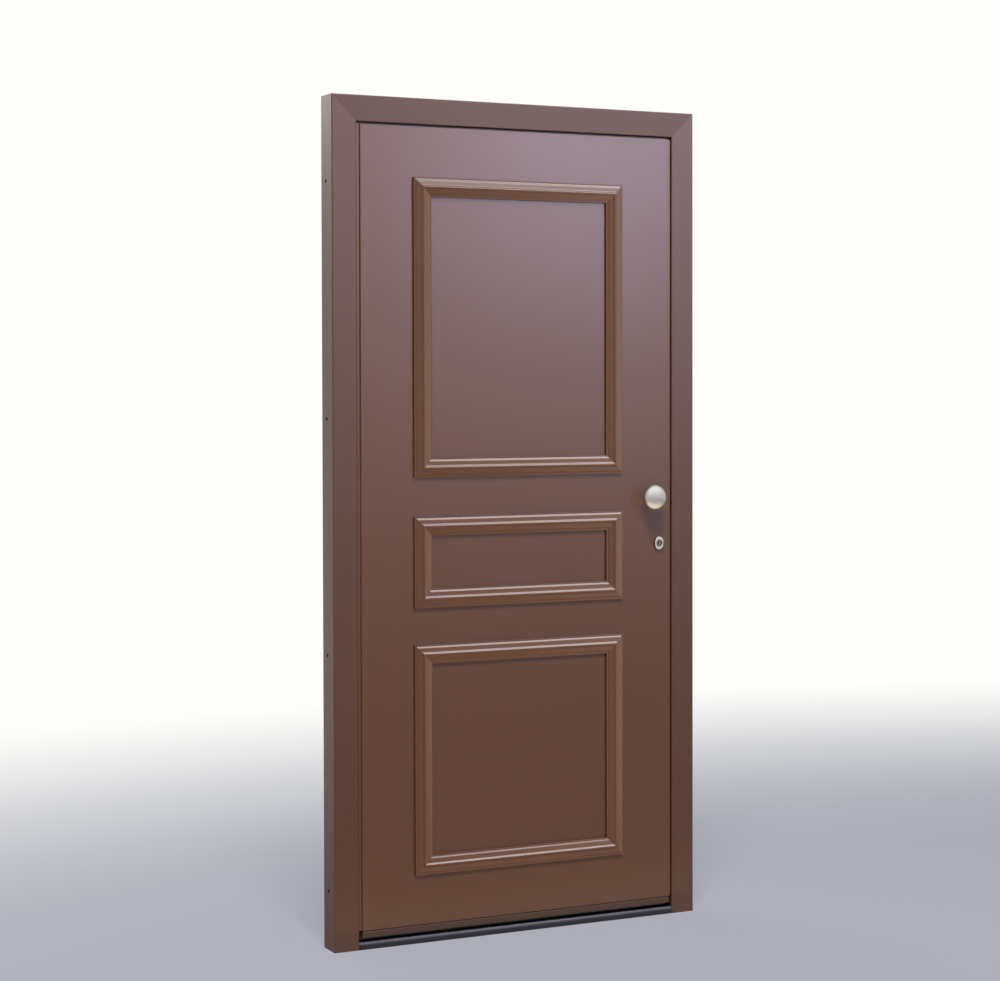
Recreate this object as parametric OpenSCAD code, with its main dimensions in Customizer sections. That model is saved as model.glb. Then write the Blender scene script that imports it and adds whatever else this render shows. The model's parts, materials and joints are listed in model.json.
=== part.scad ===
// Front door leaf hung in its steel frame, as it stands on the floor, without the wall.
// X runs across the doorway, Y from outside to inside, Z up.
// The origin is on the floor, midway across the doorway and midway through the frame's depth.

/* [Opening] */
// Clear width of the doorway between the frame's lips
opening_w = 918; // [760:1:1100]
// Clear height of the doorway, floor to head
opening_h = 2100; // [1950:1:2350]

/* [Frame] */
// Width of the frame's face, seen from outside
face_w = 67; // [56:1:90]
// Depth of the frame, outside to inside
frame_d = 70; // [66:1:90]
// Sheet thickness of the frame's profile
frame_t = 2; // [1.5:0.1:2.5]
// Fold radius at the front edges of the profile
frame_r = 2.5; // [1:0.1:4]
// How far the front lip covers the leaf's edge
lip_w = 17; // [14:0.5:22]
// Depth of the front lip
lip_d = 10; // [8:0.5:12]
// Leg length of the angles inside the mitres
cleat_leg = 110; // [60:1:160]
// Thickness of these angles
cleat_t = 5; // [3:0.5:8]
// Depth of these angles
cleat_d = 40; // [20:1:50]

/* [Fixings] */
// Radius of the holes for the wall anchors
fixing_r = 5; // [3:0.1:6]
// Height of the lowest and drop of the highest anchor hole
fixing_end = 150; // [100:1:250]
// Set-back of the anchor holes from the frame's front
fixing_set = 40; // [24:1:50]

/* [Threshold] */
// Height of the threshold
threshold_h = 20; // [14:0.5:24]
// Rounding of its upper edges
threshold_r = 9; // [2:0.5:9.5]
// Wall of the hollow threshold
threshold_t = 2.5; // [1.5:0.1:3.5]

/* [Leaf] */
// Gap between the leaf's steel edge and the rebate
leaf_gap = 4; // [3:0.5:6]
// Height of the leaf's foot above the floor
leaf_foot = 29.5; // [27:0.5:34]
// Sheet thickness of the leaf's tray
sheet_t = 1.5; // [1:0.1:2]
// Room for the gasket between lip and leaf
seal_gap = 4; // [3:0.1:5]
// Thickness of the inside facing
inner_t = 8; // [5:0.5:12]
// Gap between the outer facing and the frame's lips
panel_gap = 10; // [6:0.5:16]
// Gap between the outer facing and the head
panel_top_gap = 6; // [4:0.5:12]
// Set-back of the outer facing from the frame's front
panel_set = 0.5; // [0:0.1:3]
// Rounding of the outer facing's upright edges
panel_r = 1.5; // [0.5:0.1:3]
// Depth of the step along these edges
panel_step = 5; // [3.5:0.5:8]
// Gap between that step's back layer and the frame's lips
panel_clear = 2; // [1.5:0.5:5]
// Height of the strip along the leaf's foot
drip_h = 16.5; // [10:0.5:30]
// Rounding of that strip's front edges
drip_r = 2; // [0.5:0.1:4]
// Groove between that strip and the outer facing
drip_groove = 2; // [1:0.1:4]

/* [Seals] */
// Width of a gasket's foot
gasket_w = 9; // [6:0.5:11]
// Thickness of a gasket's foot
gasket_t = 1.2; // [0.8:0.1:1.6]
// Gap left between a gasket and the closed leaf
gasket_fit = 0.3; // [0.2:0.05:0.6]
// Width of the sealing strip under the leaf
sweep_w = 10; // [6:0.5:16]
// Gap between that strip and the threshold
sweep_fit = 0.4; // [0.3:0.05:1]

/* [Mouldings] */
// Width of a moulding
moulding_w = 49; // [36:1:64]
// Height of a moulding's crest above the facing
moulding_h = 14.5; // [8:0.5:20]
// Side margin of the moulded frames on the facing
moulding_side = 145; // [80:0.5:170]
// Margin over the upper frame
moulding_top = 128.5; // [80:0.5:180]
// Margin under the lower frame
moulding_foot = 128.5; // [80:0.5:180]
// Height of the lower frame
lower_h = 592; // [400:0.5:650]
// Height of the middle frame
middle_h = 234.5; // [160:0.5:280]
// Gap between the lower and the middle frame
lower_gap = 94.5; // [60:0.5:120]
// Gap between the middle and the upper frame
upper_gap = 101; // [60:0.5:120]

/* [Knob] */
// Radius of the pull knob
knob_r = 33.5; // [24:0.5:38]
// How far the knob stands out
knob_out = 56; // [46:0.5:70]
// Distance of its widest ring from the facing
knob_rim = 35; // [28:0.5:40]
// Length of its neck
knob_neck_l = 16; // [10:0.5:22]
// Radius of its neck
knob_neck_r = 11; // [9:0.5:16]
// Height of the knob above the floor
knob_z = 1133; // [1100:1:1180]
// Distance of its axis from the facing's edge
knob_in = 63; // [50:0.5:90]
// Radius of the bolt that holds it
knob_bolt_r = 5; // [3:0.5:6]

/* [Lock] */
// Height of the key cylinder above the floor
cylinder_z = 1008; // [980:1:1040]
// Distance of the cylinder's axis from the leaf's edge
backset = 55; // [50:0.5:65]
// Distance of the lever's axis above the cylinder
lever_up = 85; // [84:0.5:92]
// Radius of a dead bolt
bolt_r = 8; // [6:0.25:8]
// Throw of the dead bolts
bolt_throw = 20; // [14:0.5:22]
// Distance between neighbouring dead bolts
bolt_pitch = 26; // [24:0.5:26]
// Throw of the latch
latch_throw = 12; // [9:0.5:13]
// Height of the latch
latch_h = 20; // [14:0.5:22]
// Thickness of the latch
latch_d = 14; // [10:0.5:15]
// Depth of the lock case across the leaf
case_d = 22; // [20:0.5:24]
// Sheet thickness of the lock case
case_t = 1.5; // [1:0.1:2]
// Width of the lock's face plate
faceplate_w = 24; // [24:0.5:28]
// Thickness of the face plate and of the strike plate
faceplate_t = 3; // [2:0.1:4]
// Pitch radius of the pinion that drives the bolts
pinion_r = 8; // [7.5:0.1:8.2]
// Face width of that pinion
pinion_d = 8; // [5:0.5:9]
// Teeth of that pinion
pinion_teeth = 8; // [8:1:12]

/* [Cylinder] */
// Radius of the round part of the cylinder
profile_r = 8.5; // [8:0.1:9]
// Overall height of the cylinder's profile
profile_h = 33; // [30:0.5:34]
// Width of the cylinder's lower lobe
profile_w = 10; // [8:0.5:11]
// Radius of the turning plug
plug_r = 6.5; // [5.5:0.1:7]
// Width of the keyway
keyway_w = 2.6; // [2:0.1:3.5]
// Height of the keyway
keyway_h = 9; // [7:0.5:10]
// Half the width of the oval ring round the cylinder, outside
guard_r = 13; // [12:0.5:18]
// How far each end of that ring lies from the cylinder's axis, beyond its half width
guard_rise = 4.5; // [1:0.5:12]
// How far that ring stands out
guard_out = 8; // [7:0.5:14]
// Radius of the mouth of that ring
guard_mouth_r = 9.5; // [9:0.25:11]
// How far the cylinder's face lies behind that ring
guard_recess = 3.5; // [2:0.5:5]

/* [Lever] */
// Length of the inside lever
lever_l = 125; // [90:1:150]
// Radius of the lever's bar
lever_r = 9; // [8:0.5:11]
// Distance of the bar's axis from the inside facing
lever_out = 50; // [44:0.5:65]
// Radius of the round cover plates inside
rose_r = 26; // [22:0.5:30]
// Thickness of these plates
rose_t = 8; // [6:0.5:10]
// Side of the square spindle
spindle_w = 8; // [6:0.5:9]
// Length of the thumb turn's paddle
turn_w = 30; // [24:0.5:36]
// Thickness of the thumb turn's paddle
turn_t = 9; // [6:0.5:11]
// How far the thumb turn stands off its plate
turn_out = 22; // [16:0.5:30]

/* [Hinges] */
// Height of the lowest hinge, and drop of the highest
hinge_end = 230; // [180:1:330]
// Overall height of a hinge
hinge_h = 100; // [90:1:130]
// Width of a hinge plate
hinge_plate_w = 36; // [30:0.5:38]
// Thickness of a hinge plate
hinge_plate_t = 3; // [2.5:0.1:4]
// Radius of a hinge knuckle
knuckle_r = 9; // [8:0.25:9.5]
// Radius of a hinge pin
pin_r = 5; // [4:0.1:6]
// Thickness of a hinge washer
washer_t = 2; // [1:0.1:3]
// Set-back of the hinge axis from the leaf's edge
hinge_in = 2; // [1.5:0.1:3]
// Distance of the hinge axis behind the inside facing
hinge_out = 10; // [9.75:0.25:12]

/* [Screws] */
// Radius of a screw's head
screw_head_r = 4.6; // [4:0.1:5]
// Radius of a screw's shank
screw_r = 2.4; // [2:0.1:2.5]
// Depth of the countersunk head
screw_head_d = 2; // [1.5:0.1:2.4]
// Length of a screw
screw_l = 16; // [12:0.5:18]

/* [Hidden] */

// Paint and metals
paint = "#634a3d";
steel = "#8f9398";
stainless = "#c9cbcc";
brass = "#b79a55";
rubber = "#202022";
alloy = "#6b6a70";
foam = "#d8cfa8";

// Overrun of cuts, running fit of a shaft, fit of a fixed piece, free gap of a hidden moving piece
over = 1;
running_fit = 0.05;
seat_fit = 0.02;
free_gap = 0.3;
full_turn = 360;
side_count = 4;

// Planes across the doorway and up it
half_w = opening_w / 2;
rebate_x = half_w + lip_w;
outer_x = half_w + face_w;
rebate_z = opening_h + lip_w;
outer_z = opening_h + face_w;
leaf_x = rebate_x - leaf_gap;
leaf_top = rebate_z - leaf_gap;
panel_x = half_w - panel_gap;
tongue_x = half_w - panel_clear;
panel_top = opening_h - panel_top_gap;
panel_foot = leaf_foot + drip_h + drip_groove;

// Planes through the depth, outside to inside
front_y = -frame_d / 2;
back_y = frame_d / 2;
lip_back_y = front_y + lip_d;
shell_y = lip_back_y + seal_gap;
inner_y = back_y - inner_t;
panel_y = front_y + panel_set;
lock_y = (shell_y + inner_y) / 2;

// Places of the furniture
knob_x = panel_x - knob_in;
cylinder_x = leaf_x - backset;
lever_z = cylinder_z + lever_up;
hinge_x = -(leaf_x + hinge_in);
hinge_y = back_y + hinge_out;
hinge_top = opening_h - hinge_end;
lower_hinge_z = hinge_end;
middle_hinge_z = (hinge_end + hinge_top) / 2;
upper_hinge_z = hinge_top;
hinge_zs = [lower_hinge_z, middle_hinge_z, upper_hinge_z];
fixing_count = 4;
fixing_step = (opening_h - 2 * fixing_end) / (fixing_count - 1);

// Heights of the three moulded frames on the facing
lower_z = panel_foot + moulding_foot;
middle_z = lower_z + lower_h + lower_gap;
upper_z = middle_z + middle_h + upper_gap;
upper_h = panel_top - moulding_top - upper_z;
moulded_w = 2 * (panel_x - moulding_side);

// Points of an arc about a centre
function arc(cx, cy, r, from, to, steps) =
    [for (i = [0:steps]) let (a = from + (to - from) * i / steps) [cx + r * cos(a), cy + r * sin(a)]];

// A fold or a small edge is drawn with this many chords
fold_steps = 5;
round_steps = 24;

// Frame section: across the face from the lip's edge, and back from the front
frame_outline = concat(
    arc(frame_r, frame_r, frame_r, 180, 270, fold_steps),
    arc(face_w - frame_r, frame_r, frame_r, 270, 360, fold_steps),
    [[face_w, frame_d], [lip_w, frame_d], [lip_w, lip_d], [0, lip_d]]
);
frame_hollow = [
    [frame_t, frame_t], [face_w - frame_t, frame_t],
    [face_w - frame_t, frame_d - frame_t], [lip_w + frame_t, frame_d - frame_t],
    [lip_w + frame_t, lip_d - frame_t], [frame_t, lip_d - frame_t]
];

module frame_bar(length) {
    difference() {
        linear_extrude(length) polygon(frame_outline);
        translate([0, 0, -over]) linear_extrude(length + 2 * over) polygon(frame_hollow);
    }
}

// Everything above the mitre planes of the two upper corners
module head_side() {
    translate([0, back_y + over, 0]) rotate([90, 0, 0]) linear_extrude(frame_d + 2 * over) polygon([
        [over - half_w, opening_h - over], [half_w - over, opening_h - over],
        [outer_x + over, outer_z + over], [-outer_x - over, outer_z + over]
    ]);
}

module jamb_blank() {
    difference() {
        translate([half_w, front_y, 0]) frame_bar(outer_z);
        head_side();
        for (i = [0:fixing_count - 1])
            translate([rebate_x - over, front_y + fixing_set, fixing_end + i * fixing_step])
                rotate([0, 90, 0]) cylinder(r = fixing_r, h = face_w - lip_w + 2 * over);
    }
}

module left_jamb() {
    color(paint) difference() {
        mirror([1, 0, 0]) jamb_blank();
        for (z = hinge_zs) hinge_frame_screw_set(z, screw_fit);
    }
}

module right_jamb() {
    color(paint) difference() {
        jamb_blank();
        bolt_holes(rebate_x - over, frame_t + 2 * over, strike_clear + strike_step);
        for (z = strike_screw_zs) strike_screw_at(z, screw_fit);
    }
}

module head() {
    color(paint) intersection() {
        translate([outer_x, front_y, opening_h]) rotate([0, -90, 0]) frame_bar(2 * outer_x);
        head_side();
    }
}

// Angles that lie inside the hollow profile, along the outer walls of each upper corner
module corner_cleat() {
    cleat_x = outer_x - frame_t;
    cleat_z = outer_z - frame_t;
    translate([0, cleat_d / 2, 0]) rotate([90, 0, 0]) linear_extrude(cleat_d) polygon([
        [cleat_x, cleat_z - cleat_leg], [cleat_x, cleat_z], [cleat_x - cleat_leg, cleat_z],
        [cleat_x - cleat_leg, cleat_z - cleat_t], [cleat_x - cleat_t, cleat_z - cleat_t],
        [cleat_x - cleat_t, cleat_z - cleat_leg]
    ]);
}

module corner_cleats() {
    color(steel) {
        corner_cleat();
        mirror([1, 0, 0]) corner_cleat();
    }
}

// Threshold: a hollow section with rounded upper edges, notched round the jambs' lips
threshold_outline = concat(
    [[0, 0], [frame_d, 0]],
    arc(frame_d - threshold_r, threshold_h - threshold_r, threshold_r, 0, 90, fold_steps),
    arc(threshold_r, threshold_h - threshold_r, threshold_r, 90, 180, fold_steps)
);
chamber_count = 2;
chamber_w = (frame_d - 2 * threshold_r - (chamber_count + 1) * threshold_t) / chamber_count;

module threshold() {
    color(alloy) difference() {
        translate([-rebate_x, front_y, 0]) rotate([90, 0, 90])
            linear_extrude(2 * rebate_x) polygon(threshold_outline);
        for (i = [0:chamber_count - 1])
            translate([
                -rebate_x - over,
                front_y + threshold_r + threshold_t + i * (chamber_w + threshold_t),
                threshold_t
            ])
                cube([2 * (rebate_x + over), chamber_w, threshold_h - 2 * threshold_t]);
        for (side = [-1, 1])
            translate([side * (half_w + (lip_w + over) / 2), front_y + (lip_d - over) / 2, threshold_h / 2])
                cube([lip_w + over, lip_d + over, threshold_h + 2 * over], center = true);
    }
}

// Gaskets: a flat foot on the lip's back with a round bulb that meets the leaf
gasket_h = seal_gap - gasket_fit;
gasket_bulb_r = gasket_h - gasket_t;
gasket_u = (lip_w - leaf_gap) / 2;
gasket_outline = concat(
    [[-gasket_w / 2, 0], [gasket_w / 2, 0], [gasket_w / 2, gasket_t]],
    arc(0, gasket_t, gasket_bulb_r, 0, 180, round_steps / 2),
    [[-gasket_w / 2, gasket_t]]
);

module gasket_bar(length) {
    translate([gasket_u, lip_d, 0]) linear_extrude(length) polygon(gasket_outline);
}

module jamb_gasket() {
    difference() {
        translate([half_w, front_y, threshold_h]) gasket_bar(outer_z - threshold_h);
        head_side();
    }
}

module left_gasket() { color(rubber) mirror([1, 0, 0]) jamb_gasket(); }

module right_gasket() { color(rubber) jamb_gasket(); }

module head_gasket() {
    color(rubber) intersection() {
        translate([outer_x, front_y, opening_h]) rotate([0, -90, 0]) gasket_bar(2 * outer_x);
        head_side();
    }
}

// Countersunk screw along -Z with its head at the origin, grown by a fit for its hole
screw_fit = 0.05;

module screw(grow = 0) {
    rotate_extrude() polygon([
        [0, 0], [screw_head_r + grow, 0], [screw_r + grow, -screw_head_d],
        [screw_r + grow, -screw_l - grow], [0, -screw_l - grow]
    ]);
    if (grow > 0) cylinder(r = screw_head_r + grow, h = over);
}

// Leaf: a folded steel tray, open to the inside, with its filling and its facings
module leaf_shell() {
    shell_d = inner_y - shell_y;
    color(paint) difference() {
        translate([-leaf_x, shell_y, leaf_foot]) cube([2 * leaf_x, shell_d, leaf_top - leaf_foot]);
        translate([-leaf_x + sheet_t, shell_y + sheet_t, leaf_foot + sheet_t])
            cube([2 * (leaf_x - sheet_t), shell_d, leaf_top - leaf_foot - 2 * sheet_t]);
        faceplate_block(free_gap);
        cylinder_bore(shell_y - over, shell_y + sheet_t + over);
        knob_bolt_bore(seat_fit);
    }
}

module leaf_core() {
    core_y = shell_y + sheet_t;
    color(foam) difference() {
        translate([-leaf_x + sheet_t, core_y, leaf_foot + sheet_t])
            cube([2 * (leaf_x - sheet_t), inner_y - core_y, leaf_top - leaf_foot - 2 * sheet_t]);
        case_block(seat_fit);
        faceplate_block(free_gap);
        cylinder_bore(core_y - over, inner_y + over);
        spindle_bore(lock_y, inner_y + over);
        knob_bolt_pocket();
        follower_pocket();
        for (z = hinge_zs) hinge_leaf_screw_set(z, screw_fit);
        for (z = faceplate_screw_zs) faceplate_screw_at(z, screw_fit);
    }
}

module inner_panel() {
    color(paint) difference() {
        translate([-leaf_x, inner_y, leaf_foot]) cube([2 * leaf_x, inner_t, leaf_top - leaf_foot]);
        cylinder_bore(inner_y - over, back_y + over);
        spindle_bore(inner_y - over, back_y + over);
        for (z = hinge_zs) hinge_leaf_screw_set(z, screw_fit);
    }
}

// Plan of the outer facing: two rounded front edges, and a step down to a wider back layer
facing_d = shell_y - panel_y;
facing_plan = concat(
    [[tongue_x, facing_d], [-tongue_x, facing_d], [-tongue_x, panel_step], [-panel_x, panel_step]],
    arc(panel_r - panel_x, panel_r, panel_r, 180, 270, fold_steps),
    arc(panel_x - panel_r, panel_r, panel_r, 270, 360, fold_steps),
    [[panel_x, panel_step], [tongue_x, panel_step]]
);

module outer_panel() {
    color(paint) difference() {
        translate([0, panel_y, panel_foot]) linear_extrude(panel_top - panel_foot) polygon(facing_plan);
        translate([cylinder_x, shell_y + over, cylinder_z]) rotate([90, 0, 0])
            cylinder(r = profile_r + free_gap, h = facing_d + 2 * over);
        knob_bolt_bore(seat_fit);
    }
}

module drip_rail() {
    color(paint) translate([-panel_x, panel_y, leaf_foot]) rotate([90, 0, 90])
        linear_extrude(2 * panel_x) polygon(concat(
            [[facing_d, 0], [facing_d, drip_h]],
            arc(drip_r, drip_h - drip_r, drip_r, 90, 180, fold_steps),
            arc(drip_r, drip_r, drip_r, 180, 270, fold_steps)
        ));
}

// Sealing strip that wipes the threshold, tapered to a round lip
module bottom_seal() {
    seal_h = leaf_foot - threshold_h - sweep_fit;
    lip_share = 0.2;
    seal_lip_r = sweep_w * lip_share;
    color(rubber) translate([-leaf_x + sheet_t, lock_y, leaf_foot]) rotate([90, 0, 90])
        linear_extrude(2 * (leaf_x - sheet_t)) polygon(concat(
            [[sweep_w / 2, 0], [-sweep_w / 2, 0]],
            arc(0, seal_lip_r - seal_h, seal_lip_r, 180, 360, fold_steps * 2)
        ));
}

// Moulding section: heights over the facing, the same from the outer and from the inner edge.
// A high square edge, a rounded rise, a sloping band and a second rounded rise lead to the crest.
edge_share = 0.44;
band_shares = [0.18, 0.38, 0.12];
rise_shares = [[0.05, 0.19, 0.20], [0.36, 0.49, 0.24]];
moulding_steps = 80;

function smooth(t) = t * t * (3 - 2 * t);
function along(s, step) = min(1, max(0, (s - step[0]) / (step[1] - step[0])));
function rise(s, step) = step[2] * smooth(along(s, step));
function moulding_height(s) = let (d = min(s, 1 - s))
    edge_share + band_shares[2] * along(d, band_shares) + rise(d, rise_shares[0]) + rise(d, rise_shares[1]);

moulding_outline = concat(
    [[moulding_w, 0], [0, 0]],
    [for (i = [0:moulding_steps]) let (s = i / moulding_steps)
        [s * moulding_w, moulding_height(s) * moulding_h]]
);

// Upper member of a moulded frame about the origin, mitred at both ends
module moulding_bar(length, across) {
    end = length / 2;
    edge = across / 2;
    intersection() {
        translate([end + over, 0, edge]) rotate([180, 90, 0])
            linear_extrude(length + 2 * over) polygon(moulding_outline);
        translate([0, over, 0]) rotate([90, 0, 0]) linear_extrude(moulding_h + 2 * over) polygon([
            [-end - over, edge + over], [end + over, edge + over],
            [end - moulding_w - over, edge - moulding_w - over],
            [over + moulding_w - end, edge - moulding_w - over]
        ]);
    }
}

// One side of a moulded frame of height h that starts at z: 0 top, 1 right, 2 bottom, 3 left
module moulding(side, z, h) {
    upright = side % 2 == 1;
    color(paint) translate([0, panel_y, z + h / 2]) rotate([0, side * full_turn / side_count, 0])
        moulding_bar(upright ? h : moulded_w, upright ? moulded_w : h);
}

// Knob: a neck that swells into a flattened, domed head
knob_bore_share = 0.5;
knob_bore_l = knob_out * knob_bore_share;
knob_back_a = acos(knob_neck_r / knob_r);
knob_outline = concat(
    [[0, 0], [knob_neck_r, 0], [knob_neck_r, knob_neck_l]],
    [for (i = [1:round_steps]) let (a = knob_back_a * (1 - i / round_steps))
        [knob_r * cos(a), knob_rim - (knob_rim - knob_neck_l) * sin(a) / sin(knob_back_a)]],
    [for (i = [1:round_steps]) let (a = 90 * i / round_steps)
        [knob_r * cos(a), knob_rim + (knob_out - knob_rim) * sin(a)]]
);

module knob() {
    color(stainless) translate([knob_x, panel_y, knob_z]) rotate([90, 0, 0]) difference() {
        rotate_extrude() polygon(knob_outline);
        translate([0, 0, -over]) cylinder(r = knob_bolt_r + seat_fit, h = knob_bore_l + over);
    }
}

// Bolt from inside the tray, through the sheet and the facing, into the knob
hex_sides = 6;
bolt_head_share = 1.8;
bolt_head_r = knob_bolt_r * bolt_head_share;
bolt_head_t = knob_bolt_r;
bolt_head_y = shell_y + sheet_t;

module knob_bolt_bore(fit) {
    translate([knob_x, bolt_head_y + over, knob_z]) rotate([90, 0, 0])
        cylinder(r = knob_bolt_r + fit, h = bolt_head_y - panel_y + 2 * over);
}

module knob_bolt_pocket() {
    translate([knob_x, bolt_head_y + bolt_head_t + free_gap, knob_z]) rotate([90, 0, 0])
        cylinder(r = bolt_head_r + free_gap, h = bolt_head_t + free_gap + over);
}

module knob_bolt() {
    shank_l = bolt_head_y - panel_y + knob_bore_l - free_gap;
    color(steel) translate([knob_x, bolt_head_y, knob_z]) rotate([90, 0, 0]) {
        cylinder(r = knob_bolt_r, h = shank_l);
        translate([0, 0, -bolt_head_t]) cylinder(r = bolt_head_r, h = bolt_head_t, $fn = hex_sides);
    }
}

// Key cylinder: a round body through the leaf, over a lower lobe that ends behind the outer facing
profile_lobe_z = profile_h - profile_r - profile_w / 2;
cam_gap = 2;
cam_room = pinion_d + cam_gap;
outer_face_y = panel_y - guard_out + guard_recess;
inner_face_y = back_y + rose_t / 2;

module cylinder_profile(from, to, grow = 0) {
    length = to - from;
    translate([cylinder_x, to, cylinder_z]) rotate([90, 0, 0]) {
        cylinder(r = profile_r + grow, h = length);
        translate([0, -profile_lobe_z, 0]) cylinder(r = profile_w / 2 + grow, h = length);
        translate([-profile_w / 2 - grow, -profile_lobe_z, 0])
            cube([profile_w + 2 * grow, profile_lobe_z, length]);
    }
}

module cylinder_bore(from, to) { cylinder_profile(from, to, free_gap); }

module cylinder_body() {
    bridge_z = profile_lobe_z - profile_w / 2;
    outer_end = lock_y - cam_room / 2;
    color(stainless) difference() {
        union() {
            cylinder_profile(shell_y, inner_face_y);
            translate([cylinder_x, shell_y, cylinder_z]) rotate([90, 0, 0])
                cylinder(r = profile_r, h = shell_y - outer_face_y);
        }
        translate([cylinder_x - profile_r - over, outer_end, cylinder_z - bridge_z])
            cube([2 * (profile_r + over), cam_room, bridge_z + profile_r + over]);
        translate([cylinder_x, inner_face_y + over, cylinder_z]) rotate([90, 0, 0])
            cylinder(r = plug_r, h = inner_face_y - outer_face_y + 2 * over);
    }
}

module cylinder_plug() {
    plug_end = lock_y - pinion_d / 2 - free_gap;
    key_depth_share = 0.6;
    plug_l = plug_end - outer_face_y;
    color(brass) translate([cylinder_x, plug_end, cylinder_z]) rotate([90, 0, 0]) difference() {
        cylinder(r = plug_r - running_fit, h = plug_l);
        translate([-keyway_w / 2, -keyway_h / 2, plug_l * (1 - key_depth_share)])
            cube([keyway_w, keyway_h, plug_l * key_depth_share + over]);
    }
}

// Oval ring round the cylinder: two half turns with straight sides, a rounded front edge and a round mouth
guard_edge_share = 0.2;
guard_edge_r = guard_out * guard_edge_share;
guard_draft = 0.5;

guard_side = concat(
    [[guard_r, 0]],
    arc(guard_r - guard_draft - guard_edge_r, guard_out - guard_edge_r, guard_edge_r, 0, 90, round_steps / 2)
);
guard_far_side = [for (i = [1:len(guard_side)]) let (p = guard_side[len(guard_side) - i]) [-p[0], p[1]]];

module guard_end() {
    translate([0, guard_rise, 0]) rotate_extrude(angle = full_turn / 2)
        polygon(concat([[0, 0]], guard_side, [[0, guard_out]]));
}

module cylinder_guard() {
    color(stainless) translate([cylinder_x, panel_y, cylinder_z]) rotate([90, 0, 0]) difference() {
        union() {
            guard_end();
            rotate([0, 0, full_turn / 2]) guard_end();
            translate([0, guard_rise, 0]) rotate([90, 0, 0])
                linear_extrude(2 * guard_rise) polygon(concat(guard_side, guard_far_side));
        }
        translate([0, 0, -over]) cylinder(r = guard_mouth_r, h = guard_out + 2 * over);
        translate([0, 0, guard_out - guard_draft])
            cylinder(r1 = guard_mouth_r, r2 = guard_mouth_r + guard_draft + over, h = guard_draft + over);
    }
}

// Round cover plate with a softened front edge, its bore made by the caller
module rose() {
    rose_edge_share = 0.4;
    rose_edge = rose_t * rose_edge_share;
    rotate_extrude() polygon(concat(
        [[0, 0], [rose_r, 0]],
        arc(rose_r - rose_edge, rose_t - rose_edge, rose_edge, 0, 90, fold_steps),
        [[0, rose_t]]
    ));
}

module cylinder_rose() {
    color(stainless) difference() {
        translate([cylinder_x, back_y, cylinder_z]) rotate([-90, 0, 0]) rose();
        cylinder_bore(back_y - over, inner_face_y + free_gap);
        translate([cylinder_x, back_y + rose_t + over, cylinder_z]) rotate([90, 0, 0])
            cylinder(r = plug_r + free_gap, h = rose_t + over);
    }
}

module lever_rose() {
    color(stainless) translate([cylinder_x, back_y, lever_z]) rotate([-90, 0, 0]) difference() {
        rose();
        translate([0, 0, -over]) cylinder(r = lever_r + running_fit, h = rose_t + 2 * over);
    }
}

// Lever: a round bar bent through a quarter turn, towards the hinges
bend_share = 2;
bend_r = lever_r * bend_share;
spindle_hold_share = 0.5;
spindle_hold = lever_out * spindle_hold_share;

module lever_handle() {
    neck_l = lever_out - bend_r - free_gap;
    bar_l = lever_l - bend_r - lever_r;
    color(stainless) difference() {
        translate([cylinder_x, back_y, lever_z]) {
            translate([0, free_gap, 0]) rotate([-90, 0, 0]) cylinder(r = lever_r, h = neck_l);
            translate([-bend_r, lever_out - bend_r, 0])
                rotate_extrude(angle = 90) translate([bend_r, 0]) circle(r = lever_r);
            translate([-bend_r, lever_out, 0]) rotate([0, -90, 0]) cylinder(r = lever_r, h = bar_l);
            translate([-bend_r - bar_l, lever_out, 0]) sphere(r = lever_r);
        }
        spindle_bar(back_y - over, back_y + spindle_hold, seat_fit);
    }
}

module spindle_bar(from, to, grow = 0) {
    side = spindle_w + 2 * grow;
    translate([cylinder_x - side / 2, from, lever_z - side / 2]) cube([side, to - from, side]);
}

module spindle_bore(from, to) {
    translate([cylinder_x, to, lever_z]) rotate([90, 0, 0])
        cylinder(r = spindle_w / sqrt(2) + 2 * free_gap, h = to - from);
}

module lever_spindle() {
    color(steel) spindle_bar(lock_y - case_d / 2, back_y + spindle_hold - free_gap);
}

// Lock: a steel case behind a face plate on the leaf's edge
arm_r = 18;
arm_w = 7;
hub_r = 12;
hub_d = case_d - 2 * case_t - 2 * cam_gap;
arm_d = (hub_d - cam_gap) / 2;
journal_r = 9;
latch_z = lever_z + arm_r;
guide_fit = 0.3;
pinion_module = 2 * pinion_r / pinion_teeth;
tooth_add_share = 0.8;
tooth_root_share = 0.6;
pinion_tip_r = pinion_r + pinion_module * tooth_add_share;
pinion_root_r = pinion_r - pinion_module * tooth_root_share;
carriage_w = 8;
carriage_d = 7;
carriage_x = cylinder_x - pinion_tip_r - cam_gap - bolt_throw - carriage_w;
rack_t = 8;
faceplate_x = leaf_x - faceplate_t;
case_x = carriage_x - cam_gap - case_t;
case_margin = 8;
bolt_z_low = cylinder_z - profile_lobe_z - profile_w / 2 - cam_gap - bolt_r;
bolt_z_high = cylinder_z + pinion_r + pinion_module + rack_t + cam_gap + bolt_r;
bolt_zs = [bolt_z_low - bolt_pitch, bolt_z_low, bolt_z_high, bolt_z_high + bolt_pitch];
case_z = bolt_zs[0] - bolt_r - case_margin;
case_top = latch_z + latch_h / 2 + case_margin;
faceplate_ear = 22;
faceplate_z = case_z - faceplate_ear;
faceplate_top = case_top + faceplate_ear;

module case_block(grow) {
    translate([case_x - grow, lock_y - case_d / 2 - grow, case_z - grow])
        cube([faceplate_x - case_x + 2 * grow, case_d + 2 * grow, case_top - case_z + 2 * grow]);
}

module faceplate_block(grow) {
    translate([faceplate_x - grow, lock_y - faceplate_w / 2 - grow, faceplate_z - grow])
        cube([faceplate_t + grow + over, faceplate_w + 2 * grow, faceplate_top - faceplate_z + 2 * grow]);
}

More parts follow.
